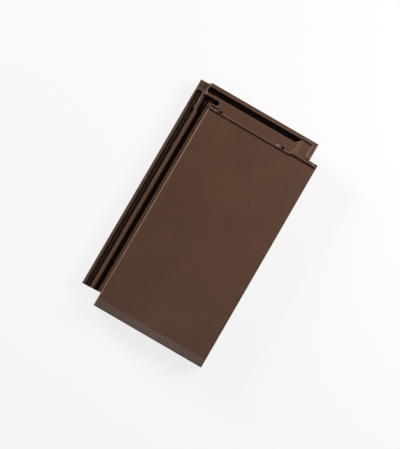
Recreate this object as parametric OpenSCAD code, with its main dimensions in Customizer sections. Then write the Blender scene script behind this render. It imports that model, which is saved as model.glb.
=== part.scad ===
// Flat interlocking clay roof tile, pressed between two dies and fired in one piece.
// Lengths are in millimetres. X runs across the tile, Y from the foot to the head, and Z up from the
// ground that the tile lies on. The modules measure x from the outer edge of the side lock and y from
// the foot. The last module moves the finished tile so that its middle stands over the origin.

/* [Panel] */
// Length of the tile from foot to head
tile_length = 434; // [380:1:480]
// Width of the plain panel, with the cover flange
panel_width = 213.6; // [190:0.2:250]
// Height of the panel's face above the ground
panel_height = 32; // [30:0.5:38]
// Thickness of the clay in the panel
panel_thickness = 13; // [11:0.5:14]
// Radius of the panel's edge over the cover flange
flange_edge_radius = 2.4; // [1:0.1:3]
// Radius of the panel's edge beside the side lock
lock_edge_radius = 1.4; // [0.8:0.1:2]

/* [Foot] */
// Length of the bevelled nose at the foot
nose_length = 14.5; // [10:0.5:20]
// Drop of the nose over that length
nose_drop = 2.6; // [1.5:0.1:4]
// Radius of the nose's front edge
nose_radius = 2; // [1:0.1:2.5]
// Thickness of the foot lip where it stands on the tile below
lip_thickness = 11; // [8:0.5:13]
// Widening of the foot lip on its way up to the panel
lip_draft = 5; // [2:0.5:7]
// Distance from the foot to the water bar on the underside
water_bar_y = 41; // [34:0.5:50]
// Thickness of the water bar at its end
water_bar_thickness = 6; // [4:0.5:9]

/* [Side lock] */
// Width of the outer rim
rim_width = 4.8; // [4:0.1:7]
// Width of the outer groove
outer_groove_width = 10.2; // [8.5:0.1:13]
// Width of the shelf inside the outer groove
shelf_width = 4.6; // [3.5:0.1:5.5]
// Width of the rib between the grooves
rib_width = 6.4; // [5:0.1:8]
// Width of the inner groove
inner_groove_width = 10.4; // [9:0.1:13]
// Width of the ledge beside the panel
ledge_width = 4.6; // [3.5:0.1:6]
// Depth of the outer groove under the rim
outer_groove_depth = 6.2; // [5:0.1:7]
// Depth of the shelf under the rim
shelf_depth = 3.2; // [2.5:0.1:4]
// Depth of the inner groove under the rim
inner_groove_depth = 8; // [7:0.1:9]
// Height of the ledge above the rim
ledge_rise = 1.2; // [0.6:0.1:1.8]
// Fall of the ledge towards the panel
ledge_fall = 2; // [1:0.1:2.6]
// Clay left under the inner groove
lock_floor = 5.7; // [5:0.1:6.5]
// Distance from the foot to the end of the lock, at the outer rim
lock_setback = 23; // [20:0.2:30]
// Slant of the end of the lock across its width
lock_slant = 1.6; // [0:0.1:3]
// Distance from the head to the corner block of the lock
corner_setback = 2; // [1:0.1:4]
// Height of the step in the outer groove near the head
outer_step = 2.6; // [1.5:0.1:3]
// Height of the step in the inner groove near the head
inner_step = 2; // [1:0.1:3]
// Depth of the last step under the corner block
corner_step = 1.6; // [1:0.1:2.4]
// Distance from the head lock's step to the steps in the grooves
groove_step_run = 13.8; // [10:0.1:18]

/* [Cover flange] */
// Thickness of the cover flange over the next tile's lock
flange_thickness = 8.5; // [7.5:0.1:9.5]
// Play between a cover flange and the lock under it
lock_play = 0.8; // [0.5:0.1:1.2]
// Open joint between two tiles side by side
joint_gap = 2; // [1:0.1:3]
// Distance from the head to the end of the flange
flange_setback = 32.2; // [30:0.2:36]
// Width of the flange beyond the head lock
flange_overhang = 17.8; // [16:0.1:20]
// Clearance between the foot lip and the next tile's lock
lip_clearance = 3; // [2:0.1:4]
// Clearance between a cover rib and the floor of the inner groove
rib_clearance = 2; // [1:0.1:3]

/* [Head lock] */
// Distance from the head to the step up from the panel
head_length = 39.6; // [37:0.2:44]
// Setback of that step at the raised right end
end_jog = 1.6; // [0.8:0.1:2.4]
// Height of the plateau above the panel
plateau_rise = 2.5; // [1.5:0.1:4]
// Width of the raised right end, up to the flange's line
end_width = 25.6; // [22:0.2:30]
// Width of each low step of the raised right end
end_step_width = 5; // [3:0.1:7]
// Height of each low step of the raised right end
end_step_rise = 0.8; // [0.4:0.1:1.2]
// Lean of those steps towards the lock, on their way to the foot
end_lean = 5.5; // [3:0.1:8]
// Height of the head rim above the plateau
head_rim_rise = 3; // [2.6:0.1:5]
// Width of the head rim
head_rim_width = 5.5; // [4:0.1:7]
// Width of the rim down the right end
end_rim_width = 5.7; // [4:0.1:7]
// Width of the slope inside that rim
end_rim_slope = 4.6; // [3:0.1:6]
// Width of the head groove
head_groove_width = 8.8; // [7:0.1:11]
// Depth of the head groove under the plateau
head_groove_depth = 10.5; // [7:0.1:11.5]
// Slant of the head groove's right end
head_groove_slant = 7; // [4:0.1:9]
// Thickness of the wall between the head groove and the drain pocket
cross_rib_width = 6.9; // [5:0.1:9]
// Width of the drain pocket
pocket_width = 7.6; // [5:0.1:8]
// Length of the drain pocket into the plateau
pocket_length = 13; // [8:0.2:18]
// Width of the lip between the drain pocket and the low corner
pocket_lip = 3.4; // [2.4:0.1:4]
// Extra thickness of the clay under the head lock
head_thickening = 3; // [1:0.1:4]

/* [Fixing] */
// Radius of the nail holes
nail_hole_radius = 2.25; // [1.5:0.05:3]
// Radius of the boss round a nail hole
boss_radius = 5.6; // [4.5:0.1:7]
// Height of the boss above the plateau
boss_rise = 0.5; // [0.2:0.1:1]
// Distance from the outer rim to the first nail hole
first_hole_x = 59.1; // [56:0.1:70]
// Distance between the two nail holes
hole_spacing = 123.4; // [110:0.2:130]
// Distance from the head to the nail holes
hole_setback = 36.7; // [35:0.1:38]
// Width of a hanging nib
nib_width = 30; // [20:1:40]
// Thickness of a hanging nib at its end
nib_thickness = 9; // [7:0.5:12]
// Widening of a hanging nib on its way up
nib_draft = 5; // [2:0.5:6]
// Distance between the middles of the two nibs
nib_spacing = 84; // [70:1:100]
// Distance from the head to the nibs' bearing faces
nib_setback = 26; // [25:0.5:30]
// Width of a bearing rib on the underside
bearing_rib_width = 7; // [5:0.5:10]

/* [Clay] */
// Lean of a pressed wall from the upright
wall_draft = 1.2; // [0.6:0.1:1.5]
// Radius of the lock's upper edges
crest_radius = 1.5; // [0.8:0.1:2]
// Radius in the floors of the grooves
floor_radius = 1; // [0.5:0.1:1.2]

/* [Hidden] */
ENGOBE = "#5b4033";
ROUND = 48;
// Overlap of solids that are joined, and reach of cuts past a face
lap = 1;

// Lines across the tile
rib_x0 = rim_width + outer_groove_width;
rib_x1 = rib_x0 + rib_width;
ledge_x = rib_x1 + inner_groove_width;
lock_width = ledge_x + ledge_width;
lock_wall_x = lock_width - wall_draft;
inner_floor_x = rib_x1 + inner_groove_width / 2;
tile_width = lock_width + panel_width;
cover_width = panel_width + joint_gap;
rebate_x = panel_width;
middle_x = (lock_width + rebate_x) / 2;
head_right = tile_width - flange_overhang;
head_left = max(rim_width + shelf_width, head_right - cover_width + 2 * wall_draft);
end_x = head_right - end_width;
pocket_x = lock_width + pocket_length;

// Lines along the tile
step_y = tile_length - head_length;
flange_y = tile_length - flange_setback;
corner_y = tile_length - corner_setback;
groove_y1 = tile_length - head_rim_width;
groove_y0 = groove_y1 - head_groove_width;
pocket_y1 = groove_y0 - cross_rib_width;
pocket_y0 = pocket_y1 - pocket_width;
nib_y = tile_length - nib_setback;
hole_y = tile_length - hole_setback;
rebate_y = lock_setback - lip_clearance;
groove_step_y = step_y - groove_step_run;

// Heights
panel_under = panel_height - panel_thickness;
head_under = panel_under - head_thickening;
flange_under = panel_height - flange_thickness;
lock_top = flange_under - lock_play;
shelf_z = lock_top - shelf_depth;
outer_floor_z = lock_top - outer_groove_depth;
inner_floor_z = lock_top - inner_groove_depth;
lock_under = inner_floor_z - lock_floor;
ledge_z = lock_top + ledge_rise;
corner_step_z = lock_top - corner_step;
plateau_z = panel_height + plateau_rise;
end_z = plateau_z + 2 * end_step_rise;
rim_z = plateau_z + head_rim_rise;
head_groove_z = plateau_z - head_groove_depth;
low_corner_z = panel_height + plateau_rise / 2;
water_bar_z = plateau_rise + lock_play;

// The points of an arc that rounds the corner b, between its neighbours a and c; b[2] is the radius.
function unit(v) = v / norm(v);
function xy(p) = [p[0], p[1]];
function turn(a) = a > 180 ? a - 360 : a < -180 ? a + 360 : a;
function corner(a, b, c, n = 4) =
    b[2] == 0 ? [xy(b)] :
    let (
        u = unit(xy(a) - xy(b)),
        w = unit(xy(c) - xy(b)),
        half = acos(u * w) / 2,
        middle = xy(b) + unit(u + w) * b[2] / sin(half),
        p = xy(b) + u * b[2] / tan(half) - middle,
        q = xy(b) + w * b[2] / tan(half) - middle,
        start = atan2(p[1], p[0]),
        sweep = turn(atan2(q[1], q[0]) - start)
    )
    [for (i = [0:n]) middle + b[2] * [cos(start + sweep * i / n), sin(start + sweep * i / n)]];

// An outline of points [x, y, radius], with each corner rounded to its own radius.
function rounded(p) = [
    for (i = [0:len(p) - 1])
        for (q = corner(p[(i + len(p) - 1) % len(p)], p[i], p[(i + 1) % len(p)])) q
];

// Extrude an outline drawn in (y, z) across the tile.
module across(x0, x1) {
    translate([x0, 0, 0])
        rotate([90, 0, 90])
            linear_extrude(x1 - x0) children();
}

// Extrude an outline drawn in (x, z) along the tile.
module along(y0, y1) {
    translate([0, y1, 0])
        rotate([90, 0, 0])
            linear_extrude(y1 - y0) children();
}

module block(x0, x1, y0, y1, z0, z1) {
    translate([x0, y0, z0]) cube([x1 - x0, y1 - y0, z1 - z0]);
}

// Section along the tile: foot lip, bevelled nose and panel.
module panel_length_section() {
    polygon(rounded([
        [0, 0, crest_radius],
        [0, panel_height - nose_drop, nose_radius],
        [nose_length, panel_height, 3 * nose_length],
        [step_y + head_length / 4, panel_height, 0],
        [step_y + head_length / 4, panel_under, 0],
        [lip_thickness + lip_draft, panel_under, 2 * crest_radius],
        [lip_thickness, 0, crest_radius]
    ]));
}

// Section across the panel, with its two long edges rounded.
module panel_width_section() {
    polygon(rounded([
        [lock_wall_x, -lap, 0],
        [lock_width, panel_height, lock_edge_radius],
        [tile_width, panel_height, flange_edge_radius],
        [tile_width, -lap, 0]
    ]));
}

module panel() {
    intersection() {
        across(lock_wall_x - lap, tile_width + lap) panel_length_section();
        along(-lap, tile_length) panel_width_section();
    }
}

// Plan of the head lock. Its step jogs back at the raised end, and its right edge where the flange ends.
module head_plan() {
    polygon([
        [lock_wall_x, step_y],
        [end_x - 2 * end_step_width, step_y],
        [end_x - 2 * end_step_width + 2 * end_jog, step_y + end_jog],
        [tile_width, step_y + end_jog],
        [tile_width, flange_y],
        [head_right, flange_y],
        [head_right, tile_length],
        [head_left, tile_length],
        [head_left, pocket_y1],
        [lock_wall_x, pocket_y1]
    ]);
}

// The right end rises in two low steps, whose lines lean towards the lock near the foot side.
module end_plan(x) {
    polygon([
        [x, tile_length],
        [x, flange_y + end_lean / 2],
        [x - end_lean / 2, flange_y],
        [x - end_lean, step_y],
        [tile_width, step_y],
        [tile_width, flange_y],
        [head_right, flange_y],
        [head_right, tile_length]
    ]);
}

module end_steps() {
    intersection() {
        for (i = [1:2]) {
            translate([0, 0, plateau_z - lap])
                linear_extrude(lap + end_step_rise * i) end_plan(end_x + end_step_width * (i - 2));
        }
        linear_extrude(rim_z) head_plan();
    }
}

// Rim along the head and down the right end, with a slope on its inner side.
module head_rims() {
    across(head_left, head_right) {
        polygon(rounded([
            [groove_y1 - wall_draft / 3, head_under + lap, 0],
            [groove_y1, rim_z, crest_radius],
            [tile_length, rim_z, crest_radius],
            [tile_length, head_under + lap, 0]
        ]));
    }
    along(flange_y, tile_length - lap) {
        polygon(rounded([
            [head_right - end_rim_width - end_rim_slope - lap, end_z - lap, 0],
            [head_right - end_rim_width, rim_z, crest_radius],
            [head_right, rim_z, crest_radius],
            [head_right, end_z - lap, 0]
        ]));
    }
}

// Leaning end wall of the head lock, over the corner of the side lock.
module head_end() {
    along(pocket_y1, corner_y - corner_setback) {
        polygon([
            [head_left - 2 * wall_draft, corner_step_z - lap],
            [head_left - 2 * wall_draft, corner_step_z],
            [head_left, plateau_z],
            [head_left + lap, plateau_z],
            [head_left + lap, corner_step_z - lap]
        ]);
    }
}

module at_nail_holes() {
    for (i = [0:1]) {
        translate([first_hole_x + hole_spacing * i, hole_y, 0]) children();
    }
}

module head() {
    translate([0, 0, head_under])
        linear_extrude(plateau_z - head_under) head_plan();
    end_steps();
    head_rims();
    head_end();
    at_nail_holes()
        translate([0, 0, panel_under + lap])
            cylinder(r = boss_radius, h = plateau_z + boss_rise - panel_under - lap, $fn = ROUND);
}

// Head groove: a drafted channel, round at its left end and slanted at its right end.
module head_groove() {
    radius = head_groove_width / 2;
    intersection() {
        across(0, tile_width) {
            polygon([
                [groove_y0 + wall_draft, head_groove_z],
                [groove_y0, plateau_z],
                [groove_y0, rim_z + lap],
                [groove_y1, rim_z + lap],
                [groove_y1 - wall_draft, head_groove_z]
            ]);
        }
        linear_extrude(rim_z + 2 * lap) {
            polygon([
                [head_left + radius, groove_y0 - lap],
                [end_x - 2 * end_step_width, groove_y0 - lap],
                [end_x - 2 * end_step_width + head_groove_slant, groove_y1 + lap],
                [head_left + radius, groove_y1 + lap]
            ]);
            translate([head_left + radius + lap, groove_y0 + radius])
                circle(r = radius, $fn = ROUND);
        }
    }
}

// Drain pocket in the plateau, open to the inner groove of the side lock, and the low corner beside it.
module pocket() {
    radius = pocket_width / 2;
    translate([0, 0, head_groove_z - lap])
        linear_extrude(rim_z - head_groove_z + lap) {
            translate([rib_x1, pocket_y0])
                square([pocket_x - radius - rib_x1, pocket_width]);
            translate([pocket_x - radius, pocket_y0 + radius])
                circle(r = radius, $fn = ROUND);
        }
    block(lock_width - 2 * lap, pocket_x - 2 * wall_draft, step_y - lap, pocket_y0 - pocket_lip,
        low_corner_z, rim_z);
}

// Section of the side lock, from the outer rim to the ledge beside the panel.
module lock_section() {
    polygon(rounded([
        [0, lock_under, crest_radius],
        [0, lock_top, crest_radius],
        [rim_width, lock_top, crest_radius],
        [rim_width + wall_draft, shelf_z, floor_radius / 2],
        [rim_width + shelf_width, shelf_z, floor_radius / 2],
        [rim_width + shelf_width + wall_draft, outer_floor_z, floor_radius / 2],
        [rib_x0 - wall_draft, outer_floor_z, floor_radius],
        [rib_x0, lock_top, crest_radius],
        [rib_x1, lock_top, crest_radius],
        [rib_x1 + wall_draft, inner_floor_z, floor_radius],
        [inner_floor_x, inner_floor_z, floor_radius],
        [ledge_x, ledge_z, floor_radius],
        [lock_wall_x, ledge_z - ledge_fall, 0],
        [lock_width + 2 * lap, ledge_z - ledge_fall, 0],
        [lock_width + panel_thickness, panel_under + lap, 0],
        [lock_width + panel_thickness - lap, panel_under - lap / 50, 0],
        [ledge_x - lap, lock_under, 2 * crest_radius]
    ]));
}

// Floors that rise in steps at the head end of the lock's grooves, and the corner block that closes them.
module lock_steps() {
    under = lock_under + lap;
    block(rim_width / 2, rib_x0 + lap, groove_step_y, pocket_y1 + lap, under, outer_floor_z + outer_step);
    block(rim_width / 2, head_left + lap, pocket_y1, groove_y0 + 2 * lap, under, corner_step_z);
    block(0, head_left + lap, groove_y0 + wall_draft, corner_y, lock_under, lock_top);
    across(inner_floor_x - 2 * wall_draft, lock_width + lap) {
        polygon([
            [groove_step_y, under],
            [groove_step_y, inner_floor_z + inner_step],
            [pocket_y0 - pocket_lip, inner_floor_z + 2 * inner_step],
            [pocket_y0, under]
        ]);
    }
}

module side_lock() {
    difference() {
        union() {
            along(lock_setback, corner_y - corner_setback) lock_section();
            lock_steps();
        }
        translate([0, lock_setback, lock_under - lap])
            rotate(atan(lock_slant / lock_width))
                translate([-lock_width, -lock_setback, 0])
                    cube([2 * lock_width - wall_draft / 2, lock_setback, panel_height]);
    }
}

// Room for the next tile's side lock under the cover flange.
module flange_rebate() {
    along(rebate_y, tile_length + lap) {
        polygon([
            [rebate_x - 3 * wall_draft, -2 * lap],
            [rebate_x, flange_under],
            [cover_width + ledge_x - 2 * wall_draft, flange_under],
            [cover_width + ledge_x - wall_draft, ledge_z + lock_play],
            [tile_width + 2 * lap, ledge_z + lock_play],
            [tile_width + 2 * lap, -2 * lap]
        ]);
    }
}

// Ribs of the cover flange. They take their places from the grooves of the lock that they cover.
module flange_ribs() {
    outer_z = shelf_z + lock_play;
    inner_z = inner_floor_z + rib_clearance;
    slope = (ledge_x - inner_floor_x) / (ledge_z - inner_floor_z);
    translate([cover_width, 0, 0])
        along(rebate_y - lap, groove_step_y - lip_clearance) {
            polygon(rounded([
                [rim_width + wall_draft + lock_play, flange_under + lap, 0],
                [rim_width + 1.5 * wall_draft + lock_play, outer_z, floor_radius],
                [rib_x0 - 1.5 * wall_draft - lock_play, outer_z, floor_radius],
                [rib_x0 - wall_draft - lock_play, flange_under + lap, 0]
            ]));
            polygon(rounded([
                [rib_x1 + lock_play, flange_under + lap, 0],
                [rib_x1 + wall_draft + lock_play, inner_z, floor_radius / 2],
                [inner_floor_x + slope * (inner_z - inner_floor_z) - lock_play, inner_z, floor_radius / 2],
                [ledge_x - wall_draft - lock_play, flange_under + lap, 0]
            ]));
        }
}

// Two nibs that hook over the batten.
module nibs() {
    for (side = [-1, 1]) {
        x0 = middle_x + side * nib_spacing / 2 - nib_width / 2;
        across(x0, x0 + nib_width) {
            polygon(rounded([
                [nib_y, head_under + lap, 0],
                [nib_y, 0, crest_radius],
                [nib_y + nib_thickness, 0, crest_radius],
                [nib_y + nib_thickness + nib_draft, head_under + lap, 0]
            ]));
        }
    }
}

// Bar that meets the plateau of the tile below and keeps driven rain out.
module water_bar() {
    y1 = water_bar_y + water_bar_thickness;
    across(lock_width + panel_thickness / 2, end_x - 2 * end_step_width) {
        polygon(rounded([
            [water_bar_y - 2 * wall_draft, panel_under + lap, 0],
            [water_bar_y, water_bar_z, floor_radius],
            [y1, water_bar_z, floor_radius],
            [y1 + 2 * wall_draft, panel_under + lap, 0]
        ]));
    }
}

// Ribs as deep as the lock. Together with it they bear on the batten.
module bearing_ribs() {
    half = bearing_rib_width / 2;
    for (side = [-1:1]) {
        translate([middle_x + side * nib_spacing / 2, 0, 0])
            along(water_bar_y + water_bar_thickness - lap, nib_y + lap) {
                polygon([
                    [-half - wall_draft, panel_under + lap],
                    [-half, lock_under],
                    [half, lock_under],
                    [half + wall_draft, panel_under + lap]
                ]);
            }
    }
}

module nail_holes() {
    at_nail_holes()
        translate([0, 0, head_under - lap])
            cylinder(r = nail_hole_radius, h = rim_z, $fn = ROUND);
}

module roof_tile() {
    color(ENGOBE)
        translate([-tile_width / 2, -tile_length / 2, 0])
            difference() {
                union() {
                    difference() {
                        union() {
                            panel();
                            head();
                        }
                        flange_rebate();
                    }
                    flange_ribs();
                    side_lock();
                    nibs();
                    water_bar();
                    bearing_ribs();
                }
                head_groove();
                pocket();
                nail_holes();
            }
}

roof_tile();
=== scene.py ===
# %% [markdown]
# A flat interlocking roof tile, pressed from clay between two dies, coated with a brown engobe and fired.
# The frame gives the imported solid. This lesson dresses it: an eased skin instead of sharp corners, the
# finish of engobe on fired clay, a pale floor, soft studio light and the photograph's camera.

# %% Load the frame
import math

import bpy
import numpy as np
from mathutils import Matrix, Vector


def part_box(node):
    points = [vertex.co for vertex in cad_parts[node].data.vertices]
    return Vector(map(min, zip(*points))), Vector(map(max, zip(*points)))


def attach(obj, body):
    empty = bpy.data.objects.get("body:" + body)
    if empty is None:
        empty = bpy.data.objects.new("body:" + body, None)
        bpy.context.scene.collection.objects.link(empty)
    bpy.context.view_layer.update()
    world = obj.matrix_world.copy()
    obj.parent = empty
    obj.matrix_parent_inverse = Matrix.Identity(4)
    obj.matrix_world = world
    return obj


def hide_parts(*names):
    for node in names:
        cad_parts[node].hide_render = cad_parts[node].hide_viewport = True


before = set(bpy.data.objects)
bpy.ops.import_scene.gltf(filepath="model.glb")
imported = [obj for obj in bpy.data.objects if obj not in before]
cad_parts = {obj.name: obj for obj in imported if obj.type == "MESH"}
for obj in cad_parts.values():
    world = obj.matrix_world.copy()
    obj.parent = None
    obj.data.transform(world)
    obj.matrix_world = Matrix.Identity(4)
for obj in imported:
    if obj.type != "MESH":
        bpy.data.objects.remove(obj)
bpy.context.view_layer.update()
MM = 0.001
tile_low, tile_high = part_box("roof_tile")
TILE_WIDTH, TILE_LENGTH, TILE_HEIGHT = [(high - low) / MM for low, high in zip(tile_low, tile_high)]
print(f"frame: {len(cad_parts)} node, {TILE_WIDTH:.1f} by {TILE_LENGTH:.1f} by {TILE_HEIGHT:.1f} mm")

# %% [markdown]
# A pressed tile leaves the dies in one straight pull, so it has no undercuts: its face and its back are
# each one height over the plan. That makes the skin a pair of height fields on a shared grid, worked out
# with numpy, which is simpler and cleaner than cutting blocks out of each other. All lengths are in
# millimetres, x from the outer edge of the side lock and y from the foot, as the dies would be drawn.

# %% Helpers for shapes
def ramp(t, start, end):
    """0 up to start, 1 from end on, and a straight line between."""
    return np.clip((t - start) / (end - start), 0, 1)


def between(t, start, end):
    """True where t lies from start to end."""
    return (t >= start) & (t <= end)


def height_at(shape, x, y):
    """Height of a shape at one place of the plan."""
    return float(shape(np.array([x]), np.array([y]))[0])


print("a ramp from 2 to 4, read at 1, 3 and 5:", ramp(np.array([1, 3, 5]), 2, 4))

# %% [markdown]
# The side lock is a section carried along the tile: a rim, an outer groove with a shelf, a rib, a deep
# inner groove with a sloping wall, and a ledge under the panel. The next tile's cover flange runs in it.
# It could be a drawn curve that is extruded. Here a row of corners with straight lines between them gives
# the height at any place across the lock, so that the rest of the face can be laid over it.

# %% Section of the side lock
DRAFT = 1.2
STEEP = 0.5
PANEL_Z = 32.0
LOCK_TOP = 22.7
SHELF_Z = LOCK_TOP - 5.4
OUTER_FLOOR = LOCK_TOP - 6.6
INNER_FLOOR = LOCK_TOP - 8.6
INNER_SLOPE_Z = LOCK_TOP - 3.6
LEDGE_Z = LOCK_TOP + 1.2
LEDGE_FALL = 0.8
RIM_WIDTH = 4.4
SHELF_X = RIM_WIDTH + 5.0
RIB_X0 = RIM_WIDTH + 11.2
RIB_X1 = RIB_X0 + 6.0
INNER_FLOOR_X = RIB_X1 + 4.2
LEDGE_X = RIB_X1 + 10.6
LOCK_WIDTH = LEDGE_X + 4.2
LOCK_WALL = LOCK_WIDTH - DRAFT
ARRIS_SETBACK = 0.6
LOCK_SECTION = np.array([
    (0, LOCK_TOP),
    (RIM_WIDTH, LOCK_TOP),
    (RIM_WIDTH + DRAFT, SHELF_Z),
    (SHELF_X, SHELF_Z),
    (SHELF_X + DRAFT, OUTER_FLOOR),
    (RIB_X0 - STEEP, OUTER_FLOOR),
    (RIB_X0, LOCK_TOP),
    (RIB_X1, LOCK_TOP),
    (RIB_X1 + STEEP, INNER_FLOOR),
    (INNER_FLOOR_X, INNER_FLOOR),
    (LEDGE_X - STEEP, INNER_SLOPE_Z),
    (LEDGE_X, LEDGE_Z),
    (LOCK_WALL + ARRIS_SETBACK, LEDGE_Z - LEDGE_FALL),
    (LOCK_WIDTH + ARRIS_SETBACK, PANEL_Z),
])
print(f"side lock: {LOCK_WIDTH:.1f} mm wide, {len(LOCK_SECTION)} corners in its section")

# %% [markdown]
# Along the tile the shape changes only at a few lines: where the nose ends, where the floors of the lock's
# grooves step up, where the head lock begins, and at its grooves and rims. Lines near the head are counted
# back from the head's edge, as they would be measured on the tile. Named lines keep the parts that meet
# at one of them together, where a height painted on the mesh would have to be moved by hand.

# %% Lines along the tile
NOSE_LENGTH, NOSE_DROP = 14.5, 2.6
STEP_Y = TILE_LENGTH - 40.1
FLANGE_Y = TILE_LENGTH - 32.2
CORNER_Y = TILE_LENGTH - 2.0
HEAD_RIM_Y = TILE_LENGTH - 5.6
HEAD_RIM_LAP = 1.2
HEAD_GROOVE_END = HEAD_RIM_Y - 2.0
HEAD_GROOVE_Y = HEAD_GROOVE_END - 9.1
POCKET_Y1 = HEAD_GROOVE_Y - 5.9
POCKET_Y0 = POCKET_Y1 - 8.2
GROOVE_STEP_Y = STEP_Y - 13.3
print(f"lines along the tile: step at {STEP_Y:.1f}, head groove from {HEAD_GROOVE_Y:.1f} mm")

# %% Face of the panel and the side lock
OUTER_STEP, INNER_STEP = 2.0, 2.0
RISING_FLOOR = 0.06
CORNER_STEP = 0.9
CORNER_LAG = 2.4
HEAD_SHIFT = 1.5
HEAD_SHIFT_X = (0, RIM_WIDTH, RIB_X1, INNER_FLOOR_X)


def lock_and_panel(x, y):
    """The lock's section across the tile, level along it; the panel falls to the foot over its nose;
    near the head the floors of both grooves step up, and a corner block closes the lock."""
    shift = HEAD_SHIFT * np.interp(x, HEAD_SHIFT_X, (0, 1, 1, 0)) * (y > GROOVE_STEP_Y)
    z = np.interp(x + shift, *LOCK_SECTION.T)
    z = z - NOSE_DROP * (1 - ramp(y, 0, NOSE_LENGTH)) * (x > LOCK_WALL)
    outer_floor = OUTER_FLOOR + OUTER_STEP + RISING_FLOOR * (x - RIM_WIDTH)
    z = np.where((y > GROOVE_STEP_Y) & between(x, RIM_WIDTH, RIB_X0), np.maximum(z, outer_floor), z)
    inner_floor = INNER_FLOOR + INNER_STEP * (1 + ramp(y, GROOVE_STEP_Y, POCKET_Y0))
    raised = (y > GROOVE_STEP_Y) & between(x, RIB_X1 + 2 * DRAFT, LOCK_WALL)
    z = np.where(raised, np.maximum(z, inner_floor), z)
    block = y > POCKET_Y1 + CORNER_LAG
    z = np.where(block & between(x, RIM_WIDTH / 2, LOCK_WALL), LOCK_TOP - CORNER_STEP, z)
    return np.where((y > HEAD_GROOVE_Y + CORNER_LAG) & (x < LOCK_WALL), LOCK_TOP, z)


for y in (TILE_LENGTH / 2, STEP_Y):
    print(f"inner groove at y {y:.0f}: floor at {height_at(lock_and_panel, INNER_FLOOR_X, y):.1f} mm")

# %% [markdown]
# The head lock is a plateau above the panel with a groove and a rim along the head. The groove's rear wall
# leans. The plateau's right end rises in two low steps to a side rim. Low pips stand beside the nail holes
# at the step, and a drain pocket opens into the side lock. Boolean cuts could make these, but leave slivers
# where they meet. Here each is a mask over the plan with its own height.

# %% Sizes of the head lock
PLATEAU_Z = PANEL_Z + 2.5
HEAD_RIM_Z = TILE_HEIGHT
HEAD_GROOVE_Z = PLATEAU_Z - 10.5
HEAD_RIGHT = TILE_WIDTH - 17.0
HEAD_LEFT = 20.5
HEAD_END_WIDTH = 4.1
HEAD_END_X = (HEAD_LEFT - HEAD_END_WIDTH, HEAD_LEFT)
HOLE_RADIUS = 2.25
HOLE_X = np.array([59.1, 59.1 + 123.4])
HOLE_Y = TILE_LENGTH - 36.7
print(f"head lock: rim at {HEAD_RIM_Z:.1f}, plateau {PLATEAU_Z:.1f}, groove floor {HEAD_GROOVE_Z:.1f} mm")

# %% Plateau of the head lock
# A step is (start, end, rise). A pip is (x, y, half width, half length, rise).
FIRST_STEP = (201.0, 203.0, 0.85)
SECOND_STEP = (206.0, 207.8, 0.55)
STEP_LEAN = 5.5
STEP_LEAN_Y = (395.5, 409.0)
SIDE_RIM_X = (222.5, 225.9)
SIDE_RIM_Y = (401.0, 407.0)
FLANGE_FADE_X = (241.0, 249.0)
PIPS = (
    (41.3, 395.4, 2.6, 2.6, 1.1),
    (48.9, 395.0, 1.9, 3.0, 1.9),
    (74.8, 394.2, 4.6, 2.6, 2.2),
    (173.2, 396.0, 1.9, 3.8, 2.1),
)


def pip_dome(x, y, pip):
    """1 at the middle of a pip, falling to 0 at its rim with the square of the distance."""
    pip_x, pip_y, half_width, half_length, _ = pip
    away = ((x - pip_x) / half_width) ** 2 + ((y - pip_y) / half_length) ** 2
    return np.clip(1 - away, 0, 1)


def plateau(x, y):
    """Plateau height, raised by two leaning steps at the right end, by domed pips beside the nail holes,
    and by the rims along the head and down the right end."""
    lean = STEP_LEAN * (1 - ramp(y, *STEP_LEAN_Y))
    z = np.full(x.shape, PLATEAU_Z)
    for x0, x1, rise in (FIRST_STEP, SECOND_STEP):
        z = z + rise * ramp(x + lean, x0, x1)
    for pip in PIPS:
        z = z + pip[-1] * pip_dome(x, y, pip)
    side_rim = ramp(x, *SIDE_RIM_X) * ramp(y, *SIDE_RIM_Y) * (x < HEAD_RIGHT)
    z = z + (HEAD_RIM_Z - z) * side_rim
    z = np.where(y > HEAD_RIM_Y, HEAD_RIM_Z, z)
    return z + (PANEL_Z - z) * ramp(x, *FLANGE_FADE_X) * (y < FLANGE_Y + DRAFT)


right_end_z = height_at(plateau, SIDE_RIM_X[0], SIDE_RIM_Y[1])
print(f"plateau: {len(PIPS)} pips, right end {right_end_z - PLATEAU_Z:.1f} mm higher")

# %% Outline of the head lock
END_JOG = 2.1
END_JOG_X = (196.6, 199.8)
BOSS_RADIUS = 3.6


def head_mask(x, y):
    """True on the head lock: past the step, which jogs back at the right end and bulges round each nail
    hole, and over the corner of the side lock only past the drain pocket."""
    step = STEP_Y + END_JOG * ramp(x, *END_JOG_X)
    inside = (y > step) & (x > LOCK_WALL)
    for hole_x in HOLE_X:
        inside = inside | (np.hypot(x - hole_x, y - HOLE_Y) < BOSS_RADIUS)
    return inside | ((y > POCKET_Y1) & (x > HEAD_LEFT))


print(f"head lock: {HEAD_LEFT:.1f} to {HEAD_RIGHT:.1f} mm across, step jogs back by {END_JOG:.1f} mm")

# %% Head groove and drain pocket
HEAD_GROOVE_X0 = 19.6
HEAD_GROOVE_X1 = 196.6
HEAD_GROOVE_SLANT = 7.0
POCKET_Z = HEAD_GROOVE_Z - 1.0
POCKET_X0 = 19.8
POCKET_X1 = LOCK_WIDTH + 13.0


def rounded_slot(x, y, x0, x1, y0, y1, slant=0.0):
    """True inside a slot with a round left end, and a round right end or a slanted one."""
    half = (y1 - y0) / 2
    middle = (y0 + y1) / 2
    left = x0 + half
    right = x1 + slant * ramp(y, y0, y1) if slant else x1 - half
    body = between(y, y0, y1) & between(x, left, right)
    ends = np.hypot(x - left, y - middle) < half
    if not slant:
        ends = ends | (np.hypot(x - right, y - middle) < half)
    return body | ends


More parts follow.
